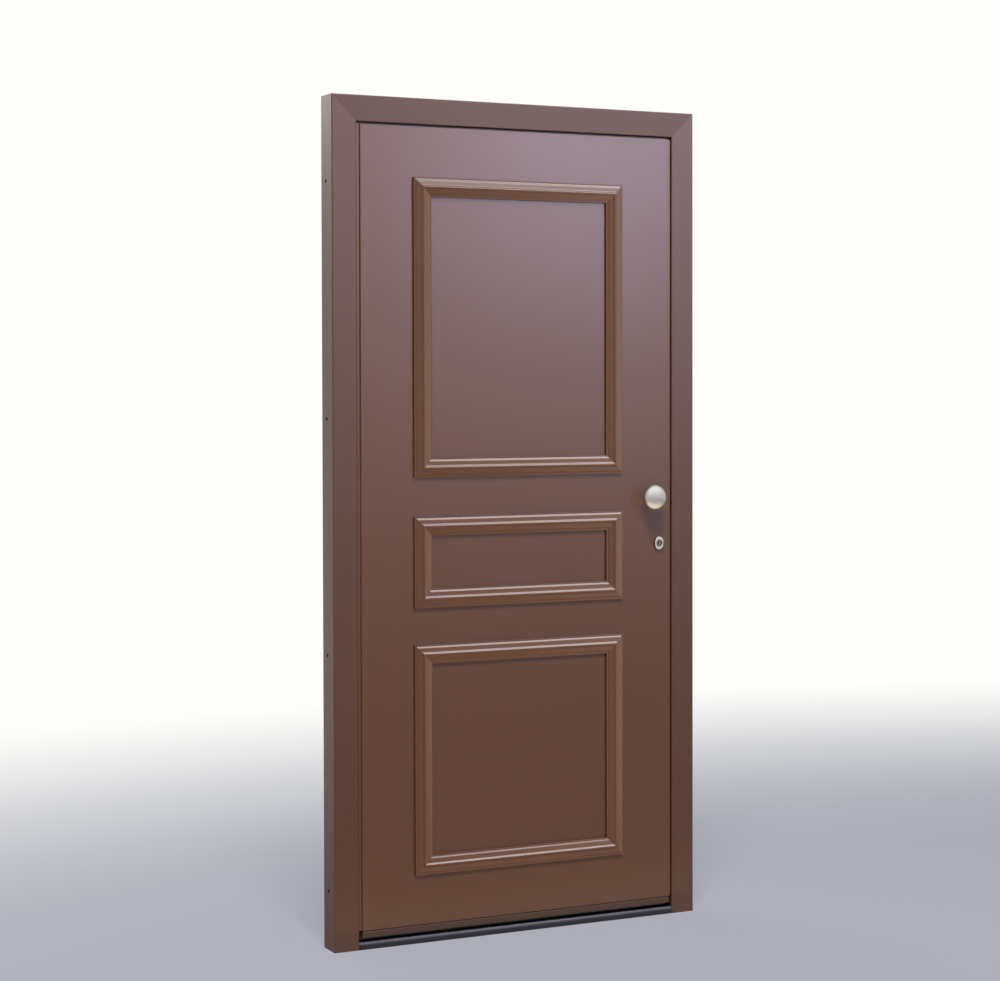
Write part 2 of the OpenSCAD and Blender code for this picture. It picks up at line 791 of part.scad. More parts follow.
// Holes for the latch and the dead bolts, along X from a plane
module bolt_holes(x, depth, grow) {
    translate([x, lock_y - latch_d / 2 - grow, latch_z - latch_h / 2 - grow])
        cube([depth, latch_d + 2 * grow, latch_h + 2 * grow]);
    for (z = bolt_zs)
        translate([x, lock_y, z]) rotate([0, 90, 0]) cylinder(r = bolt_r + grow, h = depth);
}

module lock_case() {
    color(steel) difference() {
        case_block(0);
        translate([case_x + case_t, lock_y - case_d / 2 + case_t, case_z + case_t])
            cube([faceplate_x - case_x - 2 * case_t, case_d, case_top - case_z - 2 * case_t]);
        bolt_holes(faceplate_x - case_t - over, case_t + 2 * over, guide_fit);
        cylinder_bore(lock_y - case_d / 2 - over, lock_y);
        follower_bore(lock_y - case_d / 2 - over, lock_y);
    }
}

// Lid of the case, let into its open side
module lock_cover() {
    cover_y = lock_y + case_d / 2 - case_t;
    color(steel) difference() {
        translate([case_x + case_t, cover_y, case_z + case_t])
            cube([faceplate_x - case_x - 2 * case_t, case_t, case_top - case_z - 2 * case_t]);
        cylinder_bore(cover_y - over, cover_y + case_t + over);
        follower_bore(cover_y - over, cover_y + case_t + over);
    }
}

module lock_faceplate() {
    color(stainless) difference() {
        translate([faceplate_x, lock_y - faceplate_w / 2, faceplate_z])
            cube([faceplate_t, faceplate_w, faceplate_top - faceplate_z]);
        bolt_holes(faceplate_x - over, faceplate_t + 2 * over, guide_fit);
        for (z = faceplate_screw_zs) faceplate_screw_at(z, screw_fit);
    }
}

faceplate_screw_zs = [faceplate_z + faceplate_ear / 2, faceplate_top - faceplate_ear / 2];

module faceplate_screw_at(z, grow = 0) {
    translate([leaf_x, lock_y, z]) rotate([0, 90, 0]) short_screw(faceplate_t + sheet_t, grow);
}

// Screw cut short to a given reach
module short_screw(reach, grow) {
    intersection() {
        screw(grow);
        translate([0, 0, -reach - grow]) cylinder(r = screw_head_r + over, h = reach + 2 * over);
    }
}

module faceplate_screws() {
    color(stainless) for (z = faceplate_screw_zs) faceplate_screw_at(z);
}

// Strike: a plate behind the rebate wall of the right jamb, holed for the latch and the bolts
strike_clear = 1;
strike_step = 0.5;
strike_x = rebate_x + frame_t;
strike_w = faceplate_w + 2 * case_margin;
strike_z = faceplate_z;
strike_top = faceplate_top;
strike_screw_zs = [strike_z + faceplate_ear / 2, strike_top - faceplate_ear / 2];

module strike_screw_at(z, grow = 0) {
    translate([rebate_x, lock_y, z]) rotate([0, -90, 0]) screw(grow);
}

module strike_plate() {
    color(stainless) difference() {
        translate([strike_x, lock_y - strike_w / 2, strike_z])
            cube([faceplate_t, strike_w, strike_top - strike_z]);
        bolt_holes(strike_x - over, faceplate_t + 2 * over, strike_clear);
        for (z = strike_screw_zs) strike_screw_at(z, screw_fit);
    }
}

module strike_screws() { color(stainless) for (z = strike_screw_zs) strike_screw_at(z); }

// Latch: a bevelled head, and a tail whose lug the follower's arm pushes back
latch_tip_x = leaf_x + latch_throw;
latch_nose_share = 0.25;
push_gap = 0.5;
lug_w = 8;
tail_h = 8;
latch_root_x = faceplate_x - case_t - latch_throw - cam_gap - push_gap;
lug_x = cylinder_x - arm_w / 2 - push_gap - lug_w;
tail_d = (latch_d - cam_gap) / 2;

module latch_bolt() {
    near = lock_y - latch_d / 2;
    far = lock_y + latch_d / 2;
    nose = far - latch_d * latch_nose_share;
    color(stainless) {
        translate([0, 0, latch_z - latch_h / 2]) linear_extrude(latch_h) polygon([
            [latch_root_x, near], [leaf_x, near], [latch_tip_x, nose], [latch_tip_x, far], [latch_root_x, far]
        ]);
        translate([lug_x, near, latch_z - tail_h / 2]) cube([latch_root_x - lug_x + over, tail_d, tail_h]);
        translate([lug_x, near, latch_z - tail_h / 2]) cube([lug_w, latch_d, tail_h]);
    }
}

// Follower: a hub on the lever's spindle, borne in the case, with an arm up to the latch's lug
module follower_bore(from, to) {
    translate([cylinder_x, to, lever_z]) rotate([90, 0, 0])
        cylinder(r = journal_r + running_fit, h = to - from);
}

module follower_pocket() {
    translate([cylinder_x, inner_y + over, lever_z]) rotate([90, 0, 0])
        cylinder(r = journal_r + free_gap, h = inner_y - lock_y + case_d / 2 + over + 2 * free_gap);
}

module latch_follower() {
    color(steel) difference() {
        translate([cylinder_x, lock_y, lever_z]) rotate([-90, 0, 0]) {
            cylinder(r = hub_r, h = hub_d, center = true);
            cylinder(r = journal_r, h = case_d, center = true);
            translate([-arm_w / 2, -arm_r, hub_d / 2 - arm_d]) cube([arm_w, arm_r, arm_d]);
            translate([0, -arm_r, hub_d / 2 - arm_d]) cylinder(r = arm_w / 2, h = arm_d);
        }
        spindle_bar(lock_y - case_d, lock_y + case_d, seat_fit);
    }
}

// Dead bolts with a chamfered end, screwed to the carriage
bolt_chamfer_share = 0.15;

module deadbolts() {
    bolt_chamfer = bolt_r * bolt_chamfer_share;
    bolt_l = leaf_x - push_gap - rack_start_x;
    color(stainless) for (z = bolt_zs)
        translate([rack_start_x, lock_y, z]) rotate([0, 90, 0]) rotate_extrude() polygon([
            [0, 0], [bolt_r, 0], [bolt_r, bolt_l - bolt_chamfer], [bolt_r - bolt_chamfer, bolt_l], [0, bolt_l]
        ]);
}

// Rack and pinion: involute pinion teeth against straight rack teeth, with backlash
pressure_a = 20;
backlash_share = 0.12;
rack_add_share = 0.45;
rack_root_share = 1;
flank_steps = 6;
tooth_pitch = PI * pinion_module;
base_r = pinion_r * cos(pressure_a);
rad_deg = 180 / PI;
function involute(a) = tan(a) * rad_deg - a;
function tooth_half(r) =
    90 / pinion_teeth * (1 - backlash_share) + involute(pressure_a) - involute(acos(min(1, base_r / r)));
function polar(r, a) = [r * cos(a), r * sin(a)];
flank_rs = concat([pinion_root_r],
    [for (i = [0:flank_steps]) base_r + (pinion_tip_r - base_r) * i / flank_steps]);

pinion_outline = [
    for (k = [0:pinion_teeth - 1]) let (middle = 90 - k * full_turn / pinion_teeth) each concat(
        [for (r = flank_rs) polar(r, middle + tooth_half(r))],
        [for (i = [len(flank_rs) - 1:-1:0]) polar(flank_rs[i], middle - tooth_half(flank_rs[i]))]
    )
];

module drive_pinion() {
    color(steel) translate([cylinder_x, lock_y + pinion_d / 2, cylinder_z]) rotate([90, 0, 0])
        linear_extrude(pinion_d) polygon(pinion_outline);
}

// Carriage: an upright bar behind the bolts, and a rack over the pinion
rack_half = tooth_pitch / 4 * (1 - backlash_share);
rack_add = pinion_module * rack_add_share;
rack_root = pinion_module * rack_root_share;
rack_z = cylinder_z + pinion_r;
rack_last = 2;
rack_end_x = cylinder_x + rack_last * tooth_pitch;
rack_slope = tan(pressure_a);
rack_start_x = carriage_x + carriage_w;
rack_first = ceil((rack_start_x + rack_half + rack_root * rack_slope - cylinder_x) / tooth_pitch + 1 / 2);

function rack_tooth(x) = [
    [x - rack_half - rack_root * rack_slope, rack_z + rack_root],
    [x - rack_half + rack_add * rack_slope, rack_z - rack_add],
    [x + rack_half - rack_add * rack_slope, rack_z - rack_add],
    [x + rack_half + rack_root * rack_slope, rack_z + rack_root]
];

module bolt_carriage() {
    rack_top = rack_z + rack_root + rack_t;
    color(steel) translate([0, lock_y + carriage_d / 2, 0]) rotate([90, 0, 0]) linear_extrude(carriage_d)
        polygon(concat(
            [
                [rack_start_x, rack_top], [rack_start_x, bolt_zs[3] + bolt_r / 2],
                [carriage_x, bolt_zs[3] + bolt_r / 2], [carriage_x, bolt_zs[0] - bolt_r / 2],
                [rack_start_x, bolt_zs[0] - bolt_r / 2], [rack_start_x, rack_z + rack_root]
            ],
            [for (k = [rack_first:rack_last]) each rack_tooth(cylinder_x + (k - 1 / 2) * tooth_pitch)],
            [[rack_end_x, rack_z + rack_root], [rack_end_x, rack_top]]
        ));
}

// Thumb turn: a shaft through the cylinder, a collar and a flat paddle
module thumb_turn() {
    collar_r = profile_r;
    collar_y = back_y + rose_t + free_gap;
    shaft_y = lock_y + pinion_d / 2;
    paddle_y = back_y + rose_t + turn_out;
    half_span = (turn_w - turn_t) / 2;
    color(stainless) translate([cylinder_x, 0, cylinder_z]) {
        translate([0, shaft_y, 0]) rotate([-90, 0, 0])
            cylinder(r = plug_r - running_fit, h = collar_y - shaft_y);
        translate([0, collar_y, 0]) rotate([-90, 0, 0])
            cylinder(r = collar_r, h = paddle_y - collar_y - turn_t);
        translate([-turn_t / 2, collar_y + turn_t / 2, -half_span])
            cube([turn_t, paddle_y - collar_y - turn_t / 2, 2 * half_span]);
        for (end = [-1, 1])
            translate([0, collar_y + turn_t / 2, end * half_span]) rotate([-90, 0, 0])
                cylinder(r = turn_t / 2, h = paddle_y - collar_y - turn_t / 2);
    }
}

// Hinges: lift-off halves, each a plate with a knuckle, on a pin fixed in the lower knuckle
plate_gap = 1.5;
plate_edge = knuckle_r + plate_gap;
pin_cap = 4;
hinge_screw_count = 3;
hinge_screw_step = hinge_h / hinge_screw_count;

// Plate from the knuckle's edge outwards, with the tongue that carries the knuckle.
// The frame's half lies to the left of the axis, the leaf's half to the right.
module hinge_half(z, side, knuckle_z, bore_z, bore_l, bore_r) {
    tongue_h = hinge_h / 2 - washer_t / 2;
    translate([hinge_x, 0, z]) difference() {
        union() {
            translate([side > 0 ? plate_edge : -plate_edge - hinge_plate_w, back_y, -hinge_h / 2])
                cube([hinge_plate_w, hinge_plate_t, hinge_h]);
            translate([side > 0 ? 0 : -plate_edge - over, back_y, knuckle_z])
                cube([plate_edge + over, hinge_plate_t, tongue_h]);
            translate([0, hinge_y, knuckle_z]) cylinder(r = knuckle_r, h = tongue_h);
        }
        translate([0, hinge_y, bore_z]) cylinder(r = bore_r, h = bore_l);
    }
}

module hinge_screw_set(x, z, grow) {
    for (i = [0:hinge_screw_count - 1])
        translate([x, back_y + hinge_plate_t, z + (i - (hinge_screw_count - 1) / 2) * hinge_screw_step])
            rotate([-90, 0, 0]) screw(grow);
}

module hinge_frame_screw_set(z, grow = 0) {
    hinge_screw_set(hinge_x - plate_edge - hinge_plate_w / 2, z, grow);
}

module hinge_leaf_screw_set(z, grow = 0) {
    hinge_screw_set(hinge_x + plate_edge + hinge_plate_w / 2, z, grow);
}

module hinge_frame_half(z) {
    color(steel) difference() {
        hinge_half(z, -1, -hinge_h / 2, -hinge_h / 2 - over, hinge_h, pin_r + seat_fit);
        hinge_frame_screw_set(z, screw_fit);
    }
}

module hinge_leaf_half(z) {
    color(steel) difference() {
        hinge_half(z, 1, washer_t / 2, 0, hinge_h / 2 - pin_cap, pin_r + running_fit);
        hinge_leaf_screw_set(z, screw_fit);
    }
}

module hinge_pin(z) {
    pin_l = hinge_h - pin_cap - free_gap;
    color(stainless) translate([hinge_x, hinge_y, z - hinge_h / 2]) cylinder(r = pin_r, h = pin_l);
}

module hinge_washers() {
    color(brass) for (z = hinge_zs)
        translate([hinge_x, hinge_y, z - washer_t / 2]) difference() {
            cylinder(r = knuckle_r, h = washer_t);
            translate([0, 0, -over]) cylinder(r = pin_r + running_fit, h = washer_t + 2 * over);
        }
}

module hinge_frame_screws() { color(stainless) for (z = hinge_zs) hinge_frame_screw_set(z); }

module hinge_leaf_screws() { color(stainless) for (z = hinge_zs) hinge_leaf_screw_set(z); }

// Frame
left_jamb();
right_jamb();
head();
threshold();
left_gasket();
right_gasket();
head_gasket();
corner_cleats();
strike_plate();
strike_screws();
hinge_frame_half(lower_hinge_z);  // lower_hinge_frame_half
hinge_frame_half(middle_hinge_z);  // middle_hinge_frame_half
hinge_frame_half(upper_hinge_z);  // upper_hinge_frame_half
hinge_pin(lower_hinge_z);  // lower_hinge_pin
hinge_pin(middle_hinge_z);  // middle_hinge_pin
hinge_pin(upper_hinge_z);  // upper_hinge_pin
hinge_washers();
hinge_frame_screws();

// Leaf and its mouldings
leaf_shell();
leaf_core();
inner_panel();
outer_panel();
drip_rail();
bottom_seal();
moulding(0, upper_z, upper_h);  // upper_moulding_top
moulding(1, upper_z, upper_h);  // upper_moulding_right
moulding(2, upper_z, upper_h);  // upper_moulding_bottom
moulding(3, upper_z, upper_h);  // upper_moulding_left
moulding(0, middle_z, middle_h);  // middle_moulding_top
moulding(1, middle_z, middle_h);  // middle_moulding_right
moulding(2, middle_z, middle_h);  // middle_moulding_bottom
moulding(3, middle_z, middle_h);  // middle_moulding_left
moulding(0, lower_z, lower_h);  // lower_moulding_top
moulding(1, lower_z, lower_h);  // lower_moulding_right
moulding(2, lower_z, lower_h);  // lower_moulding_bottom
moulding(3, lower_z, lower_h);  // lower_moulding_left
hinge_leaf_half(lower_hinge_z);  // lower_hinge_leaf_half
hinge_leaf_half(middle_hinge_z);  // middle_hinge_leaf_half
hinge_leaf_half(upper_hinge_z);  // upper_hinge_leaf_half
hinge_leaf_screws();

// Knob, cylinder, lock and lever
knob();
knob_bolt();
cylinder_guard();
cylinder_body();
cylinder_rose();
cylinder_plug();
lock_case();
lock_cover();
lock_faceplate();
faceplate_screws();
lever_rose();
lever_handle();
lever_spindle();
latch_follower();
latch_bolt();
deadbolts();
bolt_carriage();
thumb_turn();
drive_pinion();
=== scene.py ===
# %% [markdown]
# # A painted front door in its steel frame
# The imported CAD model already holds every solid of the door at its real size. This lesson dresses
# it: the mouldings, the knob, the lever and the small round fittings get smooth surfaces worked
# out with numpy, and every piece gets a finish that starts from what the real one is made of.
# Lengths of pieces and of their grain are millimetres, and they become metres where a mesh or a
# finish is made. The camera, the lamps and the floor are placed in metres.

import json
import math

import bmesh
import bpy
import numpy as np
from mathutils import Matrix, Vector


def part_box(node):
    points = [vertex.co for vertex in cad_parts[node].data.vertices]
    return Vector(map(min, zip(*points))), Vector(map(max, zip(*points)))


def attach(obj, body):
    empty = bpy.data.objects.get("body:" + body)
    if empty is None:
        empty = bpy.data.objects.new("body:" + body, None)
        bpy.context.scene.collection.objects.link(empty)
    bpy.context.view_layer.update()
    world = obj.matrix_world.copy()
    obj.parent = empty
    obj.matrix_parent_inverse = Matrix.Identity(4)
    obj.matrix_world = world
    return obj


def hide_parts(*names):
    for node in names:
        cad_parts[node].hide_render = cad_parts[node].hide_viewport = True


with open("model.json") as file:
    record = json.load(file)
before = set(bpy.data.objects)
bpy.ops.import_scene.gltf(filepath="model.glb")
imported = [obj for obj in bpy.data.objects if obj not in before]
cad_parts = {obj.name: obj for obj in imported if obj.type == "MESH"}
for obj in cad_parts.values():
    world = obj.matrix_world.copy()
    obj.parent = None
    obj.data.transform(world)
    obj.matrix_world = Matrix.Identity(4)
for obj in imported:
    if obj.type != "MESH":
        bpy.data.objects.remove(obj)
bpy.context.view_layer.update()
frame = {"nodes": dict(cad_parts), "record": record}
scene = bpy.context.scene
MM = 0.001

# %% [markdown]
# ## Where the camera stands
# The photograph was taken from the left of the door, at about shoulder height, with a long lens.
# The place and turn below come from fitting the straight edges of the frame. The optical axis meets
# the picture above its middle, so the lens gets a small downward shift instead of a tilt: that keeps
# the upright edges of the door almost parallel, as they are in the photograph.

# %% Camera
CAMERA_AT = (-2.7058, -5.4191, 1.4396)
YAW, PITCH, ROLL = (math.radians(a) for a in (26.191, 1.326, 0.128))
FOCAL_PX, AXIS_PX = 2305.7, 436.5
PICTURE_W, PICTURE_H = 1000, 981
SENSOR_W = 36.0

ahead = np.array([math.sin(YAW) * math.cos(PITCH), math.cos(YAW) * math.cos(PITCH), -math.sin(PITCH)])
level = np.array([math.cos(YAW), -math.sin(YAW), 0.0])
drop = np.cross(ahead, level)
across = level * math.cos(ROLL) + drop * math.sin(ROLL)
up = level * math.sin(ROLL) - drop * math.cos(ROLL)
turn = Matrix(np.column_stack([across, up, -ahead]).tolist())

lens = bpy.data.cameras.new("photo_camera")
lens.sensor_fit, lens.sensor_width = "HORIZONTAL", SENSOR_W
lens.lens = SENSOR_W * FOCAL_PX / PICTURE_W
lens.shift_y = (AXIS_PX - PICTURE_H / 2) / PICTURE_W
camera = bpy.data.objects.new("photo_camera", lens)
camera.matrix_world = Matrix.Translation(CAMERA_AT) @ turn.to_4x4()
scene.collection.objects.link(camera)
scene.camera = camera
print("lens", round(lens.lens, 1), "mm, shift", round(lens.shift_y, 4))

# %% [markdown]
# ## Small helpers for every finish
# A colour is written as the hex value that a paint chart would give, and Blender works in linear
# light, so one function turns the first into the second. Another one adds a node, fills its inputs
# and links it, so that each finish below reads from top to bottom like a recipe. A third one starts
# a material that holds nothing but its shader.

# %% Colour and node helpers
def linear(hex_colour):
    """Linear RGBA of an sRGB hex colour: a dark channel c gives c / 12.92, and any other one
    gives (c + 0.055) / 1.055 raised to the power 2.4."""
    c = np.array([int(hex_colour[i:i + 2], 16) for i in (1, 3, 5)]) / 255
    return (*np.where(c <= 0.04045, c / 12.92, ((c + 0.055) / 1.055) ** 2.4).tolist(), 1.0)


def add_node(tree, kind, inputs=(), **settings):
    """Adds one node with its settings, and fills each named or numbered input with a value or a link."""
    node = tree.nodes.new(kind)
    for key, value in settings.items():
        setattr(node, key, value)
    for key, value in dict(inputs).items():
        if isinstance(value, bpy.types.NodeSocket):
            tree.links.new(value, node.inputs[key])
        else:
            node.inputs[key].default_value = value
    return node


def new_finish(name, shader_kind="ShaderNodeBsdfPrincipled"):
    """An empty material with one shader on its output: gives the material, its tree and the shader."""
    material = bpy.data.materials.new(name)
    material.use_nodes = True
    tree = material.node_tree
    tree.nodes.clear()
    shader = add_node(tree, shader_kind)
    add_node(tree, "ShaderNodeOutputMaterial", {"Surface": shader.outputs[0]})
    return material, tree, shader


print("a mid grey in linear light:", round(linear("#808080")[0], 4))

# %% [markdown]
# ## Daylight as a soft studio
# The door stands under open sky: light falls from high up in front of it, a little from the left,
# and the knob throws one soft shadow straight down. One large soft box gives that light. Satin
# paint also mirrors what stands around it, so two more boxes are there for the sheen alone: a high
# one for the upper edges of the mouldings, and a far cool one that fades down the leaf. A faint
# warm card on the ground shows in the foot of the leaf, and a box behind lights the inner side. The
# world is a pale dome, warmer below, which the camera and every mirror see as plain white.

# %% World and lamps
SKY_STEPS = [
    (0.0, "#584c3f"), (0.47, "#584c3f"), (0.50, "#585c62"), (0.60, "#676a71"), (1.0, "#747982"),
]
WHITE = "#fefefb"


def seen_rays(tree):
    """1 on rays from the camera or a mirror, which see a backdrop, and 0 on those that carry its light."""
    rays = add_node(tree, "ShaderNodeLightPath").outputs
    return add_node(tree, "ShaderNodeMath", {
        0: rays["Is Camera Ray"], 1: rays["Is Glossy Ray"]}, operation="MAXIMUM").outputs[0]


scene.view_settings.view_transform = "Standard"
world = bpy.data.worlds.new("pale_dome")
scene.world = world
world.use_nodes = True
dome = world.node_tree
dome.nodes.clear()
direction = add_node(dome, "ShaderNodeTexCoord").outputs["Generated"]
height = add_node(dome, "ShaderNodeSeparateXYZ", {0: direction}).outputs["Z"]
share = add_node(dome, "ShaderNodeMapRange", {"Value": height, "From Min": -1.0, "From Max": 1.0})
sky = add_node(dome, "ShaderNodeValToRGB", {"Fac": share.outputs["Result"]})
while len(sky.color_ramp.elements) < len(SKY_STEPS):
    sky.color_ramp.elements.new(0.5)
for element, (place, tint) in zip(sky.color_ramp.elements, SKY_STEPS):
    element.position, element.color = place, linear(tint)
backdrop = add_node(dome, "ShaderNodeMix", {
    0: seen_rays(dome), 6: sky.outputs["Color"], 7: linear(WHITE)}, data_type="RGBA")
glow = add_node(dome, "ShaderNodeBackground", {"Color": backdrop.outputs[2]})
add_node(dome, "ShaderNodeOutputWorld", {"Surface": glow.outputs[0]})


def soft_box(name, place, target, size, radiance, tint, matt=True, sheen=True):
    """A rectangular lamp at place that faces target, sizes in metres, hidden from the camera itself.
    Its power in watts is radiance times pi times its area. It can light matt colour or sheen alone."""
    lamp = bpy.data.lights.new(name, "AREA")
    lamp.shape, lamp.size, lamp.size_y = "RECTANGLE", *size
    lamp.energy, lamp.color = radiance * math.pi * size[0] * size[1], linear(tint)[:3]
    box = bpy.data.objects.new(name, lamp)
    box.matrix_world = Matrix.Translation(place) @ (
        Vector(target) - Vector(place)).to_track_quat("-Z", "Y").to_matrix().to_4x4()
    box.visible_camera, box.visible_diffuse, box.visible_glossy = False, matt, sheen
    scene.collection.objects.link(box)
    return box


lamps = {box.name: box for box in (
    soft_box("high_key", (-2.4, -5.4, 10.0), (0.0, 0.0, 1.0), (3.5, 3.2), 46.5, "#fffaf6", sheen=False),
    soft_box("high_sky", (2.3, -2.5, 4.75), (0.0, 0.0, 1.1), (3.4, 2.6), 10.5, "#f6f6ff", matt=False),
    soft_box("far_sky", (5.2, -9.2, 3.55), (0.0, 0.0, 1.7), (2.0, 2.6), 18.5, "#d6daff", matt=False),
    soft_box("low_card", (0.5, -0.3, 0.04), (0.5, -0.3, 2.0), (2.6, 0.45), 0.5, "#ffe9c4", matt=False),
    soft_box("back_sky", (-1.2, 4.5, 3.6), (0.0, 0.0, 1.1), (3.0, 2.0), 5.0, "#fffaf2"),
)}
print(len(lamps), "soft boxes under a", len(SKY_STEPS), "step dome")

# %% [markdown]
# ## A pale floor
# The floor is only there to catch the shadow and to throw warm light back under the mouldings. The
# camera sees a plain grey-blue, about a third of it lit by the lamps and two thirds glowing by itself,
# so that it doesn't darken away from them. Away from a point in front of the door it fades to the
# white of the background, so that no horizon cuts through the picture.

# %% Floor
FLOOR_HALF, GLOW_SHARE = 12.0, 0.65
# Colour that the floor throws back on the door, shows where it is lit, and glows with by itself
FLOOR_BOUNCE, FLOOR_LIT, FLOOR_GLOW = "#dfbf84", "#9a9da6", "#aeb0bc"
FADE_CENTRE, FADE_FROM, FADE_TO = (0.9, -4.0, 0.0), 4.4, 8.4

floor_finish, tree, shader = new_finish("pale_floor", "ShaderNodeMixShader")
spot = add_node(tree, "ShaderNodeTexCoord").outputs["Object"]
reach = add_node(tree, "ShaderNodeVectorMath", {0: spot, 1: FADE_CENTRE}, operation="DISTANCE")
fade = add_node(tree, "ShaderNodeMapRange", {
    "Value": reach.outputs["Value"], "From Min": FADE_FROM, "From Max": FADE_TO},
    interpolation_type="SMOOTHSTEP").outputs["Result"]
seen = seen_rays(tree)
stone = add_node(tree, "ShaderNodeMix", {
    0: seen, 6: linear(FLOOR_BOUNCE), 7: linear(FLOOR_LIT)}, data_type="RGBA")
matt = add_node(tree, "ShaderNodeBsdfDiffuse", {"Color": stone.outputs[2]})
pale = add_node(tree, "ShaderNodeMix", {0: fade, 6: linear(FLOOR_GLOW), 7: linear(WHITE)}, data_type="RGBA")
glowing = add_node(tree, "ShaderNodeEmission", {"Color": pale.outputs[2]})
by_itself = add_node(tree, "ShaderNodeMapRange", {"Value": fade, "To Min": GLOW_SHARE, "To Max": 1.0})
share = add_node(tree, "ShaderNodeMath", {0: by_itself.outputs["Result"], 1: seen}, operation="MULTIPLY")
tree.links.new(share.outputs[0], shader.inputs[0])
tree.links.new(matt.outputs[0], shader.inputs[1])
tree.links.new(glowing.outputs[0], shader.inputs[2])

floor_mesh = bpy.data.meshes.new("floor")
corners = np.array([(-1, -1, 0), (1, -1, 0), (1, 1, 0), (-1, 1, 0)]) * FLOOR_HALF
floor_mesh.from_pydata(corners.tolist(), [], [(0, 1, 2, 3)])
floor_mesh.materials.append(floor_finish)
floor = bpy.data.objects.new("floor", floor_mesh)
scene.collection.objects.link(floor)
print("floor", 2 * FLOOR_HALF, "m square")

# %% [markdown]
# ## Satin paint
# Frame and leaf wear much the same brown, sprayed on and stoved. Such a coat has orange peel:
# shallow rounded dimples of one or two millimetres. They are drawn a little coarser here, so that
# they show at all. Over the whole door the tone drifts slightly, the gloss varies in soft clouds
# where hands and rain have been, and the lowest hand's breadth is a little dusty. A tiny bevel in
# the shader rounds the folded edges, because paint never covers a knife edge. One function mixes
# the coat, and the pieces differ only in their brown, their peel and their gloss.

# %% Satin paint
TONE_MM, CLOUD_MM, DUST_MM = 600, 180, 130
DARKEST_SHARE, DUSTIEST_SHARE, ROUGH_DRIFT = 0.94, 0.25, 0.015
DUST = "#5c4d42"
FOLD_MM, PEEL_DEPTH_MM, PEEL_STRENGTH, BEVEL_RAYS = 0.8, 0.2, 0.05, 4


def satin_paint(name, brown, peel_mm, rough, ior=1.5):
    """Brown coat: noise drifts its tone and gloss, fine noise dimples it, dust thins out with height."""
    material, tree, shader = new_finish(name)
    where = add_node(tree, "ShaderNodeTexCoord").outputs["Object"]
    height = add_node(tree, "ShaderNodeSeparateXYZ", {0: where}).outputs["Z"]

    drift = add_node(tree, "ShaderNodeTexNoise", {
        "Vector": where, "Scale": 1 / (TONE_MM * MM), "Detail": 1.0})
    light, dark = linear(brown), tuple(v * DARKEST_SHARE for v in linear(brown)[:3]) + (1.0,)
    tone = add_node(tree, "ShaderNodeMix", {0: drift.outputs["Fac"], 6: dark, 7: light}, data_type="RGBA")

    clouds = add_node(tree, "ShaderNodeTexNoise", {
        "Vector": where, "Scale": 1 / (CLOUD_MM * MM), "Detail": 2.0})
    low = add_node(tree, "ShaderNodeMapRange", {
        "Value": height, "From Min": 0.0, "From Max": DUST_MM * MM,
        "To Min": DUSTIEST_SHARE, "To Max": 0.0})
    dust = add_node(tree, "ShaderNodeMath", {
        0: low.outputs["Result"], 1: clouds.outputs["Fac"]}, operation="MULTIPLY").outputs[0]
    colour = add_node(tree, "ShaderNodeMix", {
        0: dust, 6: tone.outputs[2], 7: linear(DUST)}, data_type="RGBA")
    clouded = add_node(tree, "ShaderNodeMapRange", {
        "Value": clouds.outputs["Fac"], "To Min": rough - ROUGH_DRIFT, "To Max": rough + ROUGH_DRIFT})
    rougher = add_node(tree, "ShaderNodeMath", {0: clouded.outputs["Result"], 1: dust}, operation="ADD")

    edge = add_node(tree, "ShaderNodeBevel", {"Radius": FOLD_MM * MM}, samples=BEVEL_RAYS)
    peel = add_node(tree, "ShaderNodeTexNoise", {
        "Vector": where, "Scale": 1 / (peel_mm * MM), "Detail": 1.0})
    bump = add_node(tree, "ShaderNodeBump", {
        "Strength": PEEL_STRENGTH, "Distance": PEEL_DEPTH_MM * MM, "Height": peel.outputs["Fac"],
        "Normal": edge.outputs[0]})

    tree.links.new(colour.outputs[2], shader.inputs["Base Color"])
    tree.links.new(rougher.outputs[0], shader.inputs["Roughness"])
    tree.links.new(bump.outputs[0], shader.inputs["Normal"])
    shader.inputs["IOR"].default_value = ior
    return material


# Powder-coated sheet steel: an even satin brown with a soft sheen, on the jambs and the leaf's edges.
steel_coat = satin_paint("powder_coated_steel", "#472917", peel_mm=2.6, rough=0.4)
# The same coat on the head, painted a darker brown as the shade it lies in, and duller, so that the mitres
# show.
head_coat_painted_shade = satin_paint("powder_coated_head_painted_shade", "#412617", peel_mm=2.6, rough=0.44, ior=1.45)
# Lacquered board: a closer, glossier film, in which the sky fades down the leaf and draws bright
# lines along the mouldings.
board_coat = satin_paint("lacquered_board", "#533525", peel_mm=3.2, rough=0.31)
# Powder-coated aluminium: a dull dark brown on the strip that sheds the rain.
alloy_coat = satin_paint("powder_coated_alloy", "#3e2d24", peel_mm=2.6, rough=0.5, ior=1.4)
print("paints:", *(coat.name for coat in (steel_coat, head_coat_painted_shade, board_coat, alloy_coat)))

# %% [markdown]
# ## Metals and rubber
# The knob and the small fittings are satin stainless steel, turned on a lathe, so they carry fine
# rings round their axis. The lever was brushed along its length. The cylinder is nickel on brass,
# painted dark as the shade deep in its mouth.
# Hinges and hidden steel parts are zinc plated, with the faint mottled bloom of that plating. The
# threshold is a drawn aluminium section with a dark anodised skin, whose drawing lines run across
# the doorway, and the seals are black rubber with a dry bloom. The rings of lathe work need the
# middle of each fitting, which is read from the box of its solid.

# %% Places of the fittings
def box_mm(node):
    """Lowest and highest corner of a CAD node in millimetres, to a tenth, which evens out its facets."""
    return np.round(np.array(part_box(node)) / MM, 1)


def front_centre(node):
    """Middle of a node as seen from the front: x and z in millimetres."""
    return tuple(box_mm(node).mean(axis=0)[[0, 2]].tolist())


